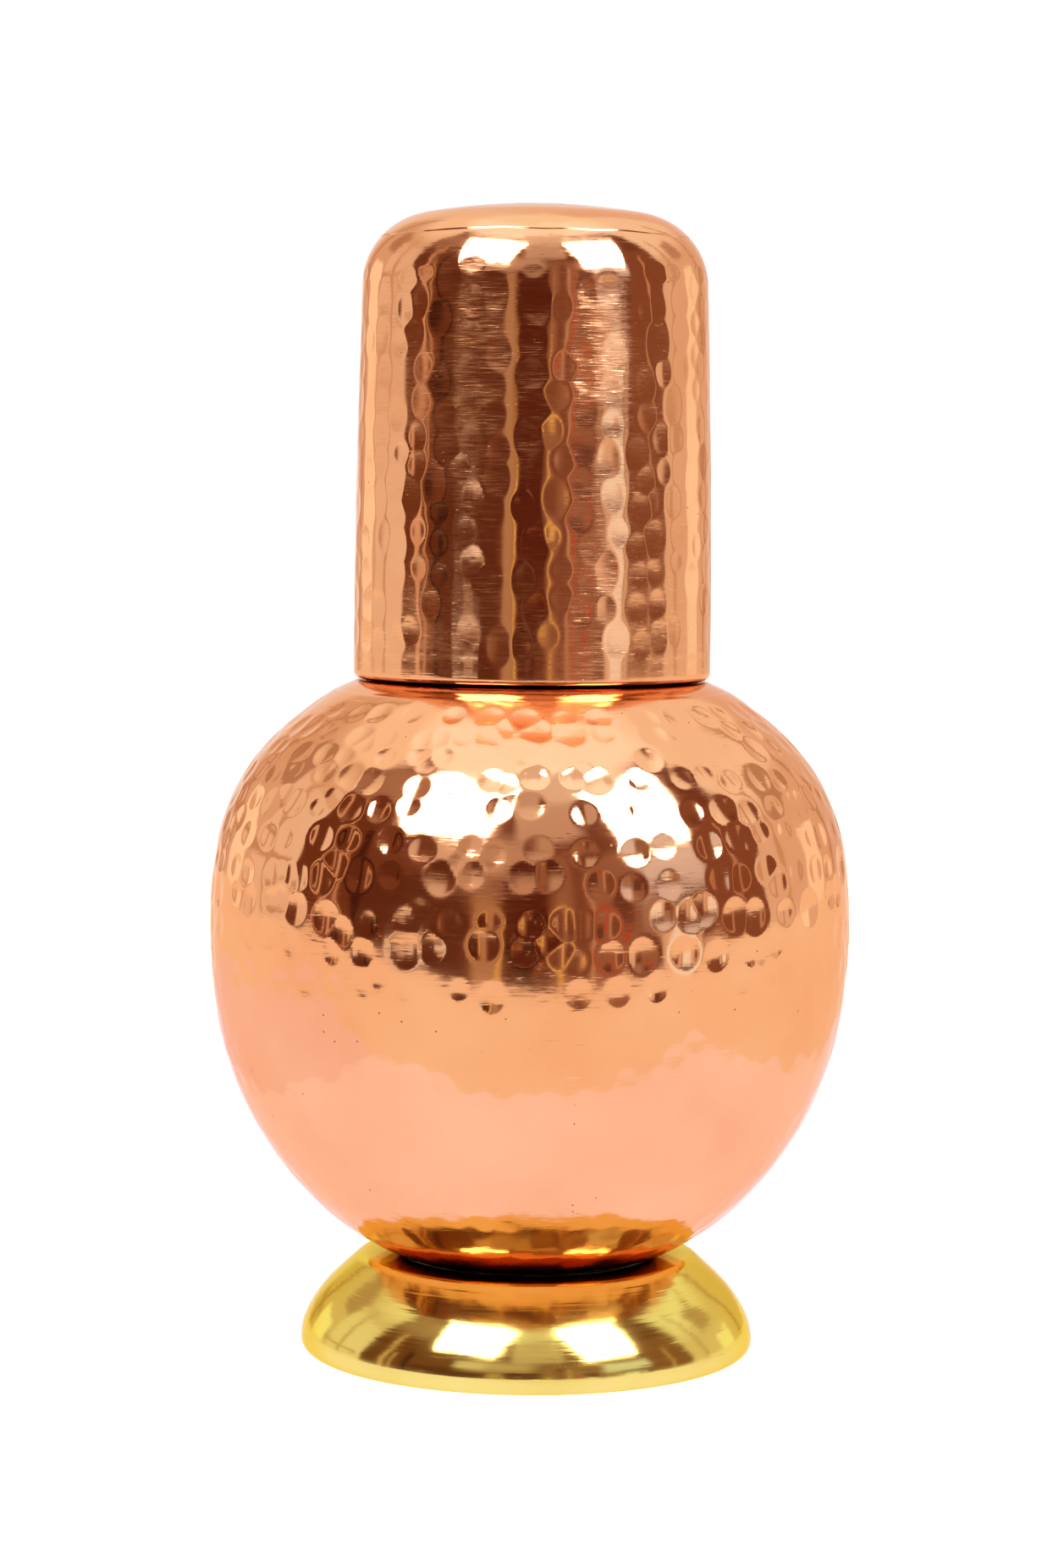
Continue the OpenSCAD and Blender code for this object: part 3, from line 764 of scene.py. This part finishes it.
# what it sees round it: patches of colour by bearing, 0 in front and 90 to the right, and by rise, each laid
# over the ones before
roomColour = (0.22, 0.1, 0.06)
roomThings = [  # name, bearing from and to, rise from and to, soft edge in degrees, colour
    ("front gloom", -93, 93, -90, 60, 2, (0.18, 0.07, 0.04)),
    ("left wall", -162, -92.5, -90, 90, 1.5, (0.78, 0.68, 0.58)),
    ("left wall top", -162, -94, 44, 90, 12, (1.05, 1.08, 1.0)),
    ("left wall foot", -122, -92.5, -9, 34, 1.5, (0.90, 0.86, 0.80)),
    ("left shelf", -160, -96, 6, 9, 1.5, (0.62, 0.46, 0.36)),
    ("left window", -142, -127, -2, 15, 1.5, (1.12, 1.2, 1.16)),
    ("left curtain", -112, -109, -7, 40, 1.2, (0.66, 0.52, 0.42)),
    ("left curtain fold", -151, -148, -90, 50, 1.2, (0.58, 0.42, 0.33)),
    ("left picture", -138, -122, 24, 38, 2, (0.52, 0.38, 0.30)),
    ("right wall", 93, 162, -90, 90, 2, (0.83, 0.74, 0.66)),
    ("right wall top", 94, 160, 28, 90, 9, (1.02, 1.08, 1.04)),
    ("right window", 118, 132, -3, 14, 1.5, (1.1, 1.18, 1.12)),
    ("right curtain", 103, 106, -90, 44, 1.2, (0.64, 0.50, 0.40)),
    ("right curtain fold", 142, 145, -90, 44, 1.2, (0.58, 0.44, 0.35)),
    ("right picture", 112, 128, 22, 36, 2, (0.55, 0.42, 0.34)),
    ("back left", -180, -158, -90, 90, 5, (0.97, 1.0, 1.0)),
    ("back right", 160, 180, -90, 90, 5, (0.90, 0.80, 0.74)),
    ("back middle", -180, -174, -90, 90, 8, (0.93, 0.9, 0.87)),
    ("back middle", 174, 180, -90, 90, 8, (0.93, 0.9, 0.87)),
    ("doorway", -91, -64, -5, 60, 2, (0.16, 0.055, 0.025)),
    ("doorway haze", -91, -64, 42, 60, 9, (0.42, 0.28, 0.22)),
    ("shade left", -63, -23, -12, 12, 4, (0.12, 0.04, 0.02)),
    ("cabinet edge", -66, -62.5, -6, 30, 1.2, (0.05, 0.015, 0.012)),
    ("chrome tube", -80, -77, -4, 42, 0.8, (0.75, 0.55, 0.42)),
    ("thin tube", -74, -72, -4, 26, 0.8, (0.62, 0.42, 0.30)),
    ("white sheet", -52, -35, -7.6, -3.8, 1.2, (1.04, 1.1, 1.1)),
    ("crumpled sheet", -44, -38, -2.5, -1, 1.2, (0.75, 0.62, 0.5)),
    ("grey board", -35, 5, 13, 33, 10, (0.56, 0.47, 0.40)),
    ("grey board end", -38, -22, 16, 30, 4, (0.70, 0.65, 0.62)),
    ("cream strip", -20, -12.5, -15, 9, 3, (0.47, 0.34, 0.22)),
    ("black strip", -10, 8, -15, 12, 3, (0.10, 0.025, 0.014)),
    ("gold frame", -12.5, -10.5, -13, 3, 1, (0.78, 0.62, 0.24)),
    ("dark jar", -6, -1, -12, -4, 2, (0.05, 0.012, 0.01)),
    ("jar top", -5, -2, -4, -2.5, 1, (0.42, 0.30, 0.24)),
    ("copper bowl", 1, 6, -9, -6, 1.5, (0.42, 0.20, 0.10)),
    ("brown cloth", 8, 40, -15, 26, 4, (0.33, 0.19, 0.13)),
    ("cloth fold", 15, 20, -12, 22, 3, (0.22, 0.10, 0.06)),
    ("cloth edge", 21, 23, -12, 16, 1.2, (0.58, 0.40, 0.30)),
    ("dark box", 29, 37, 1, 12, 2, (0.15, 0.06, 0.04)),
    ("gold frame right", 10, 12, -13, 4, 1, (0.78, 0.62, 0.24)),
    ("red label", 25.5, 27, -2, 6, 0.8, (0.6, 0.05, 0.03)),
    ("red spot", 25, 27.5, -8, -5.5, 0.8, (0.6, 0.05, 0.03)),
    ("red label top", 32, 35, -4, -1, 0.8, (0.6, 0.06, 0.04)),
    ("shade right", 40, 48, -2, 7, 2, (0.40, 0.28, 0.22)),
    ("white post", 47, 63, -20, 3.5, 1.5, (0.80, 0.70, 0.60)),
    ("lit post", 50.5, 58.5, -20, 3.5, 1, (1.03, 1.24, 1.38)),
    ("brass rail", 58.8, 60, -20, 3.5, 0.6, (0.5, 0.36, 0.14)),
    ("lamp glow", 40, 68, 8, 24, 4, (0.76, 0.86, 1.05)),
    ("dark cupboard", 66, 92, -2.5, 38, 3, (0.25, 0.11, 0.065)),
    ("cupboard handle", 79, 81, -2, 30, 1.2, (0.6, 0.42, 0.3)),
    ("right skirting", 64, 96, -12, -3, 2, (0.74, 0.65, 0.54)),
    ("lamp gap", -8, 22, 32, 58, 4, (0.62, 0.54, 0.50)),
    ("ceiling", -180, 180, 64, 90, 8, (1.35, 1.42, 1.52)),
    ("ceiling panel", -14, 36, 55, 71, 4, (0.82, 0.82, 0.78)),
    ("ceiling back", -180, -140, 62, 90, 14, (1.04, 1.22, 1.12)),
    ("ceiling back", 140, 180, 62, 90, 14, (1.04, 1.22, 1.12)),
]


def edgeMask(low, high, soft, value):
    # 1 between low and high, falling to 0 over the soft edge on both sides
    half = soft / 2
    masks = []
    if low > -180:
        masks.append(rangeIn(tree, value, low - half, low + half))
    if high < 180:
        masks.append(rangeIn(tree, value, high + half, high - half))
    return masks


world = bpy.data.worlds.new("room")
bpy.context.scene.world = world
world.use_nodes = True
tree = world.node_tree
tree.nodes.clear()
ray = nodeIn(tree, "SeparateXYZ", {0: nodeIn(tree, "TexCoord").outputs["Generated"]})
bearing = mathIn(tree, "ARCTAN2", ray.outputs[0], mathIn(tree, "MULTIPLY", ray.outputs[1], -1.0))
bearing = mathIn(tree, "MULTIPLY", bearing, 180 / math.pi)
rise = mathIn(tree, "MULTIPLY", mathIn(tree, "ARCSINE", ray.outputs[2]), 180 / math.pi)
seen = (*roomColour, 1)
for name, bearingFrom, bearingTo, riseFrom, riseTo, soft, colour in roomThings:
    masks = edgeMask(bearingFrom, bearingTo, soft, bearing)
    masks += edgeMask(-200 if riseFrom <= -90 else riseFrom, 200 if riseTo >= 90 else riseTo, soft, rise)
    while len(masks) > 1:
        masks.append(mathIn(tree, "MULTIPLY", masks.pop(0), masks.pop(0)))
    seen = mixIn(tree, masks[0], seen, (*colour, 1), name)
sky = nodeIn(tree, "Background", {"Color": seen, "Strength": 1.0})
nodeIn(tree, "OutputWorld", {"Surface": sky.outputs[0]})

softboxes = {  # bearing from and to, rise from and to
    "leftSoftbox": (-58, -14, 31, 62),
    "rightSoftbox": (29, 66, 24, 60),
}
boxDistance, boxRadiance = 0.8, 12.0
for name, (bearingFrom, bearingTo, riseFrom, riseTo) in softboxes.items():
    middle, height = math.radians((bearingFrom + bearingTo) / 2), math.radians((riseFrom + riseTo) / 2)
    wide = 2 * boxDistance * math.tan(math.radians(bearingTo - bearingFrom) / 2) * math.cos(height)
    tall = 2 * boxDistance * math.tan(math.radians(riseTo - riseFrom) / 2)
    lamp = bpy.data.lights.new(name, "AREA")
    lamp.shape, lamp.size, lamp.size_y = "RECTANGLE", wide, tall
    lamp.energy = boxRadiance * math.pi * wide * tall
    box = bpy.data.objects.new(name, lamp)
    out, ahead = math.sin(middle) * math.cos(height), -math.cos(middle) * math.cos(height)
    way = Vector((out, ahead, math.sin(height)))
    box.location = Vector((0, 0, 0.13)) + way * boxDistance
    box.rotation_euler = way.to_track_quat("Z", "Y").to_euler()
    bpy.context.scene.collection.objects.link(box)

view = {"place": (-0.0022, -0.84405, 0.18982), "down": 4.3, "roll": 0.5, "lens": 87.47}
eye = bpy.data.cameras.new("eye")
eye.sensor_fit, eye.sensor_width, eye.lens = "AUTO", 36.0, view["lens"]
eye.clip_start, eye.clip_end = 0.01, 50
camera = bpy.data.objects.new("eye", eye)
camera.matrix_world = (Matrix.Translation(view["place"])
                       @ Matrix.Rotation(math.radians(90 - view["down"]), 4, "X")
                       @ Matrix.Rotation(math.radians(view["roll"]), 4, "Z"))
bpy.context.scene.collection.objects.link(camera)
bpy.context.scene.camera = camera
bpy.context.scene.cycles.glossy_bounces = 6  # the crease over the foot needs them
bpy.context.scene.view_settings.view_transform = "Standard"
bpy.context.scene.view_settings.look = "None"
print("studio: table, backdrop, room and two softboxes")

bpy.context.view_layer.update()
